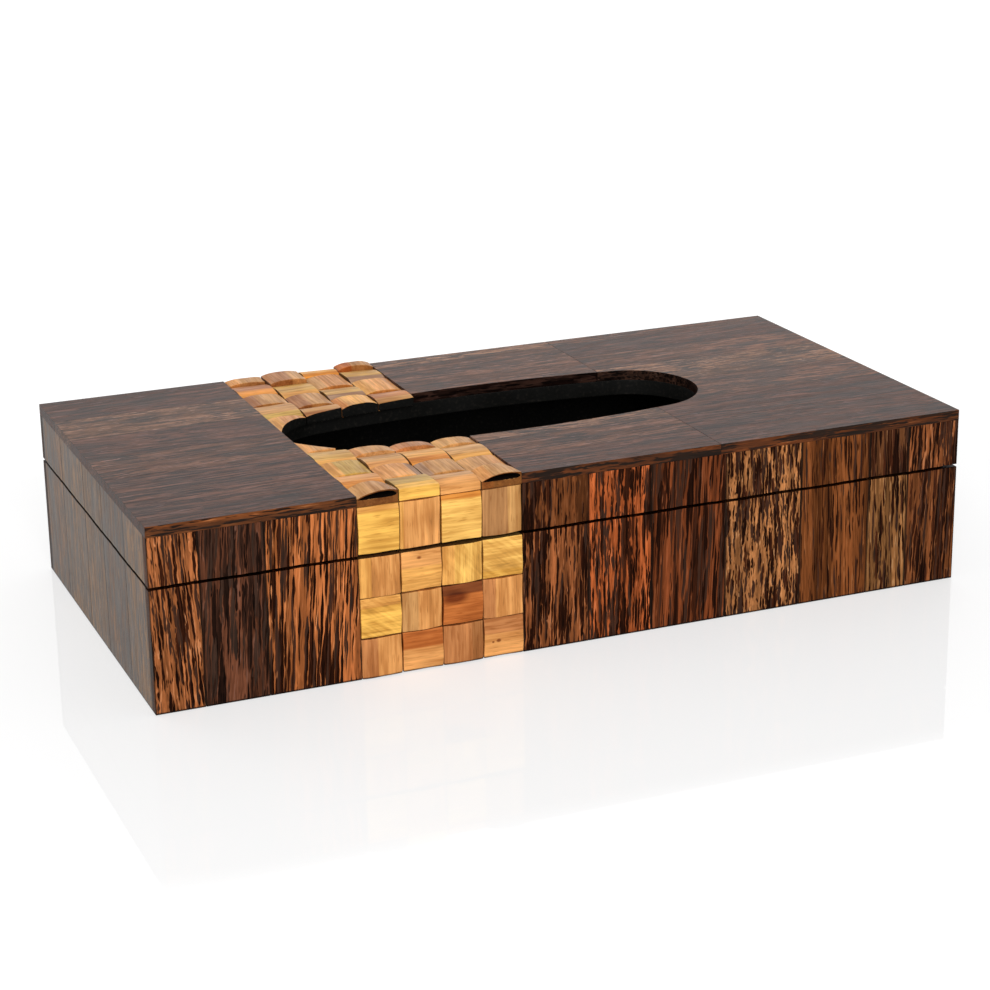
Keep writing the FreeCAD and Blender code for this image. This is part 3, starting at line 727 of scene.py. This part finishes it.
def arched_tile(name, low, high, out, crest, rise, span, fullness=2.0, shift=0.0, twist=0.0):
    """A block with an arched outer face, highest along its crest, which a twist turns at its near end."""
    tile = sawn_block(name, low, high)
    tile.data.materials.append(tile_wood)
    subdivide(tile, TILE_CUTS)
    outward, along = "xyz".index(out[-1]), "xyz".index(crest)
    across = 3 - outward - along
    foot = high[outward] if out[0] == "-" else low[outward]
    full = high[outward] - low[outward]
    middle, half_span = (span[0] + span[1]) / 2, (span[1] - span[0]) / 2
    dice = random.Random(name)
    lean_across = dice.uniform(-TILE_LEAN, TILE_LEAN)
    lean_along = dice.uniform(-TILE_LEAN, TILE_LEAN)
    sides = [(axis, far) for axis in (across, along) for far in (False, True)]
    phases = {side: dice.uniform(0, 2 * math.pi) for side in sides}
    for point in tile.data.vertices:
        place = (point.co[across] - middle) / half_span
        shares = {}
        for axis in (across, along):
            shares[axis] = 2 * (point.co[axis] - low[axis]) / (high[axis] - low[axis]) - 1
        aside = shift + twist * (1 - shares[along]) / 2
        fall = rise * (abs(place - aside) / (1 + abs(aside))) ** fullness
        height = min(full, full - fall + lean_across * place + lean_along * shares[along])
        point.co[outward] = foot + (point.co[outward] - foot) * height / full
        for axis, other in ((across, along), (along, across)):
            wave = 0.5 + 0.5 * math.sin(phases[axis, shares[axis] > 0] + TILE_WAVE * shares[other])
            point.co[axis] -= TILE_WANDER * wave * shares[axis] ** 3
    return tile


def run_paint(tile):
    """Carries the paint of a cut round its upright corners."""
    for _ in range(PAINT_RUNS):
        wet = {index for face in tile.data.polygons if face.material_index for index in face.vertices}
        for face in tile.data.polygons:
            if abs(face.normal.z) < PAINT_RUN_TURN and wet.intersection(face.vertices):
                face.material_index = 1


def finish_tile(tile, out, crest, tones, seed, stain_and_shade, end, sharpness=1.0, figure=PLAIN_FIGURE, flaws=()):
    """Eases a tile's edges and gives it its two tones of wood, its ripple, its knots and its dark sides of
    glue, paint and painted shade.
    """
    ease_edges(tile, TILE_EASE)
    run_paint(tile)
    outward, along = "xyz".index(out[-1]), "xyz".index(crest)
    across = 3 - outward - along
    heart, sap, share = tones
    lay_grain(tile, ["xyz"[across], "xyz"[outward], crest], seed)
    tint(tile, "heart", TILE_TONES[heart])
    tint(tile, "sap", TILE_TONES[sap])
    places = [point.co[across] for point in tile.data.vertices]
    start, finish = min(places), max(places)
    border = (start if share >= 0 else finish) + (finish - start) * share
    turn = -sharpness if share >= 0 else sharpness
    keep(tile, "sap_edge", "FLOAT", [turn * (place - border) for place in places])
    for name, flaw in zip(("flaw", "second_flaw"), [*flaws, None, None]):
        values = []
        for point in tile.data.vertices:
            if flaw is None:
                values += [FLAWLESS, 0, 0]
            else:
                centre, width, height = flaw
                values += [(point.co.x - centre[0]) / width, 0, (point.co.z - centre[1]) / height]
        keep(tile, name, "FLOAT_VECTOR", values)
    mark_faces(tile, "figure", lambda face: figure)
    mark_faces(tile, "end", lambda face: end * (abs(face.normal[along]) > END_TURN))
    mark_faces(tile, "hollow", stain_and_shade)


# Heartwood, sapwood and the sap's share of each tile, by rows. A share below zero counts from the far side.
FACE_TONES = [
    [("gold", "honey", -0.12), ("tan", "honey", 0.10), ("straw", "amber", -0.12), ("walnut", "beige", -0.37)],
    [("tan", "honey", 0.3), ("honey", "tan", -0.4), ("straw", "honey", 0.3), ("straw", "gold", 0.2)],
    [("gold", "honey", -0.25), ("tan", "fawn", 0.4), ("russet", "umber", -0.25), ("tan", "clay", 0.3)],
    [("tan", "clay", 0.4), ("russet", "tan", 0.58), ("clay", "brown", -0.3), ("tan", "clay", -0.4)],
]
SHARP_SAP = {(0, 1): 3.0, (0, 3): 5.0, (3, 1): 0.6}
RIPPLED = {(1, 3): 0.8, (2, 0): 0.8, (1, 2): 0.5}

# Knots and smudges: place as shares of the tile's width and height, then half width and half height
FLAWS = {
    (1, 1): [((0.44, 0.82), 0.0013, 0.0008)],
    (2, 2): [((0.32, 0.70), 0.0058, 0.0030)],
    (3, 3): [((0.36, 0.42), 0.0009, 0.0007), ((0.22, 0.40), 0.0005, 0.0004)],
}


def glued_shaded_side(glue, face):
    """How dark glue and painted shade in the gaps, or the paint at the seam, have made a face of a face tile.
    """
    if abs(face.normal.y) > FACE_TURN:
        return 0
    return SEAM_STAIN if abs(face.center.z - SEAM_HEIGHT) < SEAM_REACH else glue


def tile_row(node, name, out, row):
    """Four tiles side by side, which stand for one CAD node."""
    half = node.split("_")[0]
    tiles = []
    for number, (low, high, _) in enumerate(solid_boxes(node, "x")):
        crest = "x" if (row + number) % 2 == 0 else "z"
        span = (low[2], high[2]) if crest == "x" else (low[0], high[0])
        tile = arched_tile(f"{name}_{number}", low, high, out, crest, FACE_TILE_RISE, span)
        column = number if out == "-y" else 3 - number
        flaws = []
        for (right, rise), width, height in FLAWS.get((row, column), []):
            centre = (low[0] + right * (high[0] - low[0]), low[2] + rise * (high[2] - low[2]))
            flaws.append((centre, width, height))
        # Glue and painted shade on the tile's sides, more on some tiles than on others
        glue = random.Random(f"glue {name} {number}").uniform(*FACE_GLUE_AND_SHADE)
        stain_and_shade = functools.partial(glued_shaded_side, glue)
        finish_tile(tile, out, crest, FACE_TONES[row][column], f"{name} {number}", stain_and_shade, FACE_END_TONE,
                    SHARP_SAP.get((row, column), 1.0), RIPPLED.get((row, column), PLAIN_FIGURE), flaws)
        tiles.append(tile)
    glued = join_pieces(name, tiles)
    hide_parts(node)
    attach(glued, half)


for face, out in (("front", "-y"), ("back", "+y")):
    tile_row(f"lid_{face}_tiles", f"lid_{face}_tile_row", out, 0)
    for row in (1, 2, 3):
        tile_row(f"base_{face}_tiles_row_{row}", f"base_{face}_tile_row_{row}", out, row)


# Top tiles. Thicker blocks of the same light hardwood run over the lid in four columns, from the front edge
# to the slot and from the back edge to the slot. Two are tunnels whose hollow shows at the front edge.
REAR_TILE_OVERHANG = 0.003
TUNNEL_SKIN = 0.00045
TUNNEL_DROP = 0.0006
TUNNEL_DEPTH = 0.006
TUNNEL_OVERRUN = 0.001
TUNNEL_CUTS = 15
TUNNEL_ROUNDNESS = 8
TUNNEL_TIP = 0.12
TUNNEL_TWIST = 0.28
TUNNEL_END_STAIN = 0.35
FLANK_GLUE_AND_SHADE = 0.75
FLANK_TURN = 0.7
END_TONE = {"front": 0.1, "back": 0.7}
ARCH_FULLNESS = {"V": 2.6, "O": 2.0, "H": 2.0, "F": 2.4}
CREST_SHIFT = {"F": -0.55}

# Which way each tile of a column is arched, from the box's edge inwards, and its tones of wood. V: crest from
# front to back. H: crest along the box. F: an H that stays high at the front. O: a V with a hollow.
TOP_TILES = {
    "front_1": ("OHVHV", [
        ("rose", "fawn", 0.3), ("tan", "amber", 0.4), ("olive", "honey", 0.3), ("wheat", "honey", 0.2),
        ("rose", "tan", 0.3)]),
    "front_2": ("FVHV", [
        ("olive", "gold", 0.35), ("tan", "lilac", -0.2), ("beige", "tan", 0.3), ("rose", "tan", 0.2)]),
    "front_3": ("HVHV", [
        ("rose", "tan", 0.45), ("fawn", "lilac", 0.2), ("honey", "amber", 0.3), ("brown", "clay", 0.4)]),
    "front_4": ("OVHV", [
        ("beige", "tan", 0.3), ("rose", "tan", -0.3), ("beige", "honey", 0.3), ("fawn", "beige", 0.4)]),
    "back_1": ("VHVHV", [
        ("rose", "tan", 0.3), ("clay", "amber", 0.4), ("fawn", "brown", 0.3), ("fawn", "olive", 0.3),
        ("tan", "honey", 0.3)]),
    "back_2": ("VHVH", [
        ("brown", "fawn", -0.4), ("wheat", "honey", 0.3), ("fawn", "brown", 0.4), ("fawn", "brown", 0.3)]),
    "back_3": ("HVHV", [
        ("honey", "amber", 0.3), ("tan", "rose", 0.3), ("wheat", "lilac", 0.3), ("honey", "amber", 0.2)]),
    "back_4": ("VHVH", [
        ("russet", "rose", -0.6), ("wheat", "lilac", 0.35), ("tan", "honey", 0.3), ("clay", "fawn", 0.3)]),
}


def tile_rise(low, high, points):
    """How far a top tile's crest stands above its corners."""
    corners = []
    for point in points:
        at_side = min(point.x - low.x, high.x - point.x) < MERGE
        at_end = min(point.y - low.y, high.y - point.y) < MERGE
        if at_side and at_end and point.z > low.z + MERGE:
            corners.append(point.z)
    return high.z - min(corners)


def flank_glue_and_shade(face):
    """How dark a side face of a top tile is made: glue, and painted shade in the gaps between columns."""
    return FLANK_GLUE_AND_SHADE * (abs(face.normal.x) > FLANK_TURN)


def use_up(piece, tool, operation="DIFFERENCE"):
    """Cuts a tool out of a piece or welds it on, and removes the tool."""
    shape_with(piece, tool, operation)
    bpy.data.objects.remove(tool)


def open_tunnel(tile, low, high, span, rise):
    """Opens the front end of an arched tile under its crown, and says how dark each of its faces is: its
    inside black as painted shade.
    """
    floor_height = high[2] - rise - TUNNEL_DROP
    middle, half_span = (span[0] + span[1]) / 2, (span[1] - span[0]) / 2
    reach = half_span - TUNNEL_SKIN

    def room(spot):
        place = (spot.x - middle) / half_span
        aside = TUNNEL_TWIST * min(1, (high[1] - spot.y) / (high[1] - low[1]))
        return rise * (1 - ((place - aside) / (1 + aside)) ** 2) - TUNNEL_SKIN + TUNNEL_DROP

    hole_low = (middle - reach, low[1] - TUNNEL_OVERRUN, floor_height)
    hole = sawn_block("hole", hole_low, (middle + reach, low[1] + TUNNEL_DEPTH, high[2]))
    subdivide(hole, TUNNEL_CUTS)
    for point in hole.data.vertices:
        share = (point.co.z - floor_height) / (high[2] - floor_height)
        closed = max(TUNNEL_TIP, 1 - abs((point.co.x - middle) / reach) ** TUNNEL_ROUNDNESS)
        point.co.z = floor_height + room(point.co) * (0.5 + (share - 0.5) * math.sqrt(closed))
    use_up(tile, hole)

    # Painted shade: the tunnel's inside is darkened to black
    def tunnel_shade_and_stain(face):
        spot, slack = face.center, TUNNEL_SKIN / 3
        if (abs(spot.x - middle) < reach and low[1] + slack < spot.y < low[1] + TUNNEL_DEPTH + slack
                and floor_height - slack < spot.z < floor_height + room(spot) + slack):
            return 1.0
        return TUNNEL_END_STAIN if face.normal.y < -END_TURN else flank_glue_and_shade(face)

    return tunnel_shade_and_stain


rear_tile_cutter = slot_plug("rear_tile_cutter", -REAR_TILE_OVERHANG)
for column, (letters, tones) in TOP_TILES.items():
    node = f"lid_top_tiles_{column}"
    side = column.split("_")[0]
    boxes = solid_boxes(node, "y")
    if side == "back":
        boxes.reverse()
    span_x = (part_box(node)[0][0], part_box(node)[1][0])
    tiles = []
    for number, (low, high, points) in enumerate(boxes):
        letter = letters[number]
        name = f"{node}_{number}"
        crest = "x" if letter in "HF" else "y"
        span = (low[1], high[1]) if crest == "x" else span_x
        rise = tile_rise(low, high, points)
        fullness, shift = ARCH_FULLNESS[letter], CREST_SHIFT.get(letter, 0)
        twist = TUNNEL_TWIST if letter == "O" else 0
        tile = arched_tile(name, low, high, "+z", crest, rise, span, fullness, shift, twist)
        stain_and_shade = open_tunnel(tile, low, high, span, rise) if letter == "O" else flank_glue_and_shade
        shape_with(tile, slot_cutter if side == "front" else rear_tile_cutter, cut_colour="TRANSFER")
        end = 1.0 if letter == "O" else END_TONE[side]
        finish_tile(tile, "+z", crest, tones[number], f"{node} {number}", stain_and_shade, end)
        tiles.append(tile)
    run = join_pieces(f"lid_top_tile_run_{column}", tiles)
    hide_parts(node)
    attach(run, "lid")

for cutter in [slot_cutter, rear_tile_cutter, *beds.values()]:
    bpy.data.objects.remove(cutter)


# Hinges. Two small brass butt hinges at the back, each of two leaves rolled round a pin in five knuckles. The
# leaves lie in their beds, held by slotted countersunk screws.
LEAF_THICKNESS = 0.001
LEAF_GAP = 0.0002
LEAF_EASE = 0.00012
KNUCKLES = 5
KNUCKLE_PLAY = 0.0002
BORE_PLAY = 0.00005
PIN_DOME = 0.00045
PIN_DOME_STEPS = 4
ROD_SIDES = 40
SCREW_LINE = 0.06375
SCREW_SPACING = 0.014
SCREW_LENGTH = 0.008
SCREW_RADIUS = 0.00095
SCREW_HEAD_RADIUS = 0.0017
SCREW_SLOT_WIDTH = 0.00045
SCREW_SLOT_DEPTH = 0.00035
SCREW_TIP_RADIUS = 0.00005
SCREW_EASE = 0.00005
SCREW_EASE_STEPS = 1
# Shares of the screw's radius: thickness of shank and point, and how far from the tip they end and start
SHANK_SHARE = 0.98
POINT_SHARE = 0.96
SHANK_END_SHARE = 2
POINT_START_SHARE = 2.2
BRASS_DEEP = (0.62, 0.40, 0.14, 1)
BRASS_PALE = (0.80, 0.56, 0.24, 1)
BRASS_TARNISH = (0.34, 0.19, 0.065, 1)
BRASS_RELIEF = 0.00004

brass, tree, shader = new_material("brass", Metallic=1.0)
spot = shader_node(tree, "TexCoord").outputs["Object"]
haze = noise(tree, spot, (220, 220, 220), detail=3)
drawn = noise(tree, spot, (90, 5200, 5200), detail=1)
tarnish = noise(tree, spot, (70, 70, 70), detail=2)
metal = blend_colour(tree, haze, BRASS_DEEP, BRASS_PALE)
metal = blend_colour(tree, spread(tree, tarnish, 0.52, 0.72, 0, 0.55), metal, BRASS_TARNISH)
link(tree, metal, shader["Base Color"])
rubbed = calc(tree, "ADD", vary(tree, haze, 0.18, 0.32), vary(tree, drawn, 0, 0.12))
link(tree, rubbed, shader["Roughness"])
link(tree, bump(tree, drawn, 0.15, BRASS_RELIEF), shader["Normal"])


def brass_rod(name, axis, centre, radius, length, far_radius=None):
    """A turned rod round a centre, or a cone from one radius to another."""
    turns = {"x": (0, math.pi / 2, 0), "z": (0, 0, 0)}
    far_radius = radius if far_radius is None else far_radius
    bpy.ops.object.select_all(action="DESELECT")
    bpy.ops.mesh.primitive_cone_add(vertices=ROD_SIDES, radius1=radius, radius2=far_radius, depth=length,
                                    location=centre, rotation=turns[axis])
    bpy.ops.object.transform_apply(location=True, rotation=True, scale=True)
    piece = bpy.context.object
    piece.name = piece.data.name = name
    return piece


def in_leaf(up, near, far):
    """Lower and upper height of what lies between two depths under a leaf's face, upwards or downwards."""
    near, far = LEAF_GAP / 2 + near, LEAF_GAP / 2 + far
    return (SEAM_HEIGHT + near, SEAM_HEIGHT + far) if up else (SEAM_HEIGHT - far, SEAM_HEIGHT - near)


def screw_part(name, up, x, near, far, near_radius, far_radius):
    """A round part of a screw, between two depths under its leaf's face."""
    low, high = in_leaf(up, near, far)
    first, last = (near_radius, far_radius) if up else (far_radius, near_radius)
    return brass_rod(name, "z", (x, SCREW_LINE, (low + high) / 2), first, high - low, last)


def screw_head(name, up, x, allowance):
    """The cone of a countersunk head, or of its seat."""
    wide, narrow = SCREW_HEAD_RADIUS + allowance, SCREW_RADIUS + allowance
    return screw_part(name, up, x, 0, SCREW_HEAD_RADIUS - SCREW_RADIUS, wide, narrow)


def brass_screw(name, up, x):
    """A slotted wood screw, its head flush with its leaf."""
    shank, point = SCREW_RADIUS * SHANK_SHARE, SCREW_RADIUS * POINT_SHARE
    shank_end = SCREW_LENGTH - SHANK_END_SHARE * SCREW_RADIUS
    point_start = SCREW_LENGTH - POINT_START_SHARE * SCREW_RADIUS
    screw = screw_head(name, up, x, 0)
    use_up(screw, screw_part("shank", up, x, SCREW_SLOT_DEPTH, shank_end, shank, shank), "UNION")
    tip = screw_part("point", up, x, point_start, SCREW_LENGTH, point, SCREW_TIP_RADIUS)
    use_up(screw, tip, "UNION")
    low, high = in_leaf(up, -LEAF_GAP / 2, SCREW_SLOT_DEPTH)
    slit_low = (x - 2 * SCREW_HEAD_RADIUS, SCREW_LINE - SCREW_SLOT_WIDTH / 2, low)
    slit_high = (x + 2 * SCREW_HEAD_RADIUS, SCREW_LINE + SCREW_SLOT_WIDTH / 2, high)
    use_up(screw, sawn_block("slit", slit_low, slit_high))
    screw.data.materials.append(brass)
    ease_edges(screw, SCREW_EASE, SCREW_EASE_STEPS)
    return screw


def brass_leaf(name, up):
    """A leaf with every other knuckle rolled round the pin and two countersunk screw holes."""
    low, high = in_leaf(up, 0, LEAF_THICKNESS)
    leaf = sawn_block(name, (leaf_low.x, leaf_low.y, low), (leaf_high.x, back_face, high))
    segment = (leaf_high.x - leaf_low.x) / KNUCKLES
    for number in range(1 if up else 0, KNUCKLES, 2):
        start = leaf_low.x + segment * number + KNUCKLE_PLAY / 2
        finish = start + segment - KNUCKLE_PLAY
        web_low = (start, back_face - 2 * LEAF_THICKNESS, low)
        use_up(leaf, sawn_block("web", web_low, (finish, pin_middle.y, high)), "UNION")
        centre = ((start + finish) / 2, pin_middle.y, pin_middle.z)
        use_up(leaf, brass_rod("roll", "x", centre, leaf_high.y - pin_middle.y, finish - start), "UNION")
    use_up(leaf, brass_rod("bore", "x", pin_middle, pin_radius + BORE_PLAY, 2 * (leaf_high.x - leaf_low.x)))
    for x in (first_screw, first_screw + SCREW_SPACING):
        use_up(leaf, screw_head("seat", up, x, BORE_PLAY))
        way = (x, SCREW_LINE, SEAM_HEIGHT)
        use_up(leaf, brass_rod("way", "z", way, SCREW_RADIUS + BORE_PLAY, SCREW_LENGTH))
    leaf.data.materials.append(brass)
    ease_edges(leaf, LEAF_EASE)
    return leaf


def copy_along(piece, name, shift):
    """A copy of a piece with its own mesh, moved along the box."""
    pick(piece)
    bpy.ops.object.duplicate_move(TRANSFORM_OT_translate={"value": (shift, 0, 0)})
    bpy.ops.object.transform_apply(location=True, rotation=True, scale=True)
    copy = bpy.context.object
    copy.name = copy.data.name = name
    return copy


def seat_brass(piece, node, half):
    """Puts a brass piece in a CAD node's place."""
    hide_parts(node)
    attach(piece, half)


pin_low, pin_high = (Vector(end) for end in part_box("hinge_left_pin"))
pin_middle, pin_radius = (pin_low + pin_high) / 2, (pin_high.z - pin_low.z) / 2
leaf_low, leaf_high = (Vector(end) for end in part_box("hinge_left_base_leaf"))
back_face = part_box("base_back_strips_left")[1][1]
first_screw = pin_middle.x - SCREW_SPACING / 2
to_right_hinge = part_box("hinge_right_pin")[0][0] - pin_low.x

pin = brass_rod("brass_pin_left", "x", pin_middle, pin_radius, pin_high.x - pin_low.x)
pin.data.materials.append(brass)
ease_edges(pin, PIN_DOME, PIN_DOME_STEPS)
right_pin = copy_along(pin, "brass_pin_right", to_right_hinge)
seat_brass(pin, "hinge_left_pin", "base")
seat_brass(right_pin, "hinge_right_pin", "base")
for half in ("base", "lid"):
    leaf = brass_leaf(f"brass_leaf_left_{half}", half == "lid")
    right_leaf = copy_along(leaf, f"brass_leaf_right_{half}", to_right_hinge)
    seat_brass(leaf, f"hinge_left_{half}_leaf", half)
    seat_brass(right_leaf, f"hinge_right_{half}_leaf", half)
    screw = brass_screw(f"screw_{half}", half == "lid", first_screw)
    shifts = (SCREW_SPACING, to_right_hinge, to_right_hinge + SCREW_SPACING)
    copies = [copy_along(screw, f"screw_{half}_{number}", shift) for number, shift in enumerate(shifts)]
    seat_brass(join_pieces(f"brass_screws_{half}", [screw, *copies]), f"hinge_{half}_screws", half)


# Floor, light and camera. A white glossy table that carries on into a white background, one soft lamp over
# the camera, and two weaker ones behind the box for the sheen on its top and left end.
WHITE = (1, 1, 1, 1)
FLOOR_SIZE = 8.0
FLOOR_DROP = 0.0002
FLOOR_COLOUR = (0.45, 0.45, 0.45, 1)
FLOOR_POLISH = 0.42
FLOOR_GLOW = 0.57
FAR_GLOW = 0.16
FADE_START = 0.100
FADE_END = 0.135
AMBIENT = 0.55
LAMP_AIM = Vector((0, 0, 0.03))
# Place, side and power of each lamp
LAMPS = {
    "key_lamp": ((-0.5, -1.5, 0.8), 0.9, 20),
    "back_lamp": ((0.95, 2.2, 0.85), 2.6, 11),
    "left_back_lamp": ((-1.1, 1.7, 0.5), 1.0, 6),
}
CAMERA_TURN = math.radians(-22.454)
CAMERA_RISE = math.radians(17.957)
CAMERA_ROLL = math.radians(-0.822)
CAMERA_TARGET = Vector((0, 0, 0.040))
CAMERA_DISTANCE = 0.82503
CAMERA_LENS = 87.73
CAMERA_SENSOR = 36
IMAGE_SIDE = 990
PIXELS_RIGHT = 1.034
PIXELS_UP = -32.07


def seen_straight(tree):
    """One where the camera sees a thing itself, or in a mirror or through glass."""
    rays = shader_node(tree, "LightPath").outputs
    seen = calc(tree, "MAXIMUM", rays["Is Camera Ray"], rays["Is Glossy Ray"])
    return calc(tree, "MAXIMUM", seen, rays["Is Transmission Ray"])


bpy.ops.object.select_all(action="DESELECT")
bpy.ops.mesh.primitive_plane_add(size=FLOOR_SIZE, location=(0, 0, -FLOOR_DROP))
floor = bpy.context.object
floor.name = "floor"
white_table, tree, shader = new_material("white_table", Roughness=0.6, IOR=1.1, Coat_Roughness=0.015)
shader["Base Color"].default_value = FLOOR_COLOUR
shader["Emission Color"].default_value = WHITE
spot = shader_node(tree, "TexCoord").outputs["Object"]
box_reach = (cad_box[1][0], -cad_box[0][1], 0)
away = vector_calc(tree, "SUBTRACT", vector_calc(tree, "ABSOLUTE", spot, (0, 0, 0)), box_reach)
away = vector_calc(tree, "MAXIMUM", away, (0, 0, 0))
away = shader_node(tree, "VectorMath", {0: away}, operation="LENGTH").outputs["Value"]
polish = spread(tree, away, FADE_START, FADE_END, 1, 0)
link(tree, times(tree, polish, FLOOR_POLISH), shader["Coat Weight"])
glow = times(tree, calc(tree, "SUBTRACT", 1.0, polish), FAR_GLOW)
glow = calc(tree, "ADD", glow, FLOOR_GLOW)
link(tree, times(tree, seen_straight(tree), glow), shader["Emission Strength"])
floor.data.materials.append(white_table)

world = bpy.data.worlds.new("studio")
bpy.context.scene.world = world
world.use_nodes = True
tree = world.node_tree
background = tree.nodes["Background"].inputs
background["Color"].default_value = WHITE
extra = times(tree, seen_straight(tree), 1 - AMBIENT)
link(tree, calc(tree, "ADD", extra, AMBIENT), background["Strength"])

for name, (place, side, power) in LAMPS.items():
    bpy.ops.object.light_add(type="AREA", location=place)
    lamp = bpy.context.object
    lamp.name = name
    lamp.data.size = side
    lamp.data.energy = power
    lamp.rotation_euler = (LAMP_AIM - Vector(place)).to_track_quat("-Z", "Y").to_euler()

camera = bpy.data.objects.new("camera", bpy.data.cameras.new("camera"))
bpy.context.collection.objects.link(camera)
turned = Matrix.Rotation(CAMERA_TURN, 4, "Z") @ Matrix.Rotation(math.pi / 2 - CAMERA_RISE, 4, "X")
rolled = turned @ Matrix.Rotation(CAMERA_ROLL, 4, "Z")
drawn_back = Matrix.Translation((0, 0, CAMERA_DISTANCE))
camera.matrix_world = Matrix.Translation(CAMERA_TARGET) @ rolled @ drawn_back
camera.data.sensor_width = CAMERA_SENSOR
camera.data.lens = CAMERA_LENS
camera.data.shift_x = PIXELS_RIGHT / IMAGE_SIDE
camera.data.shift_y = PIXELS_UP / IMAGE_SIDE
bpy.context.scene.camera = camera
bpy.context.scene.view_settings.view_transform = "Standard"
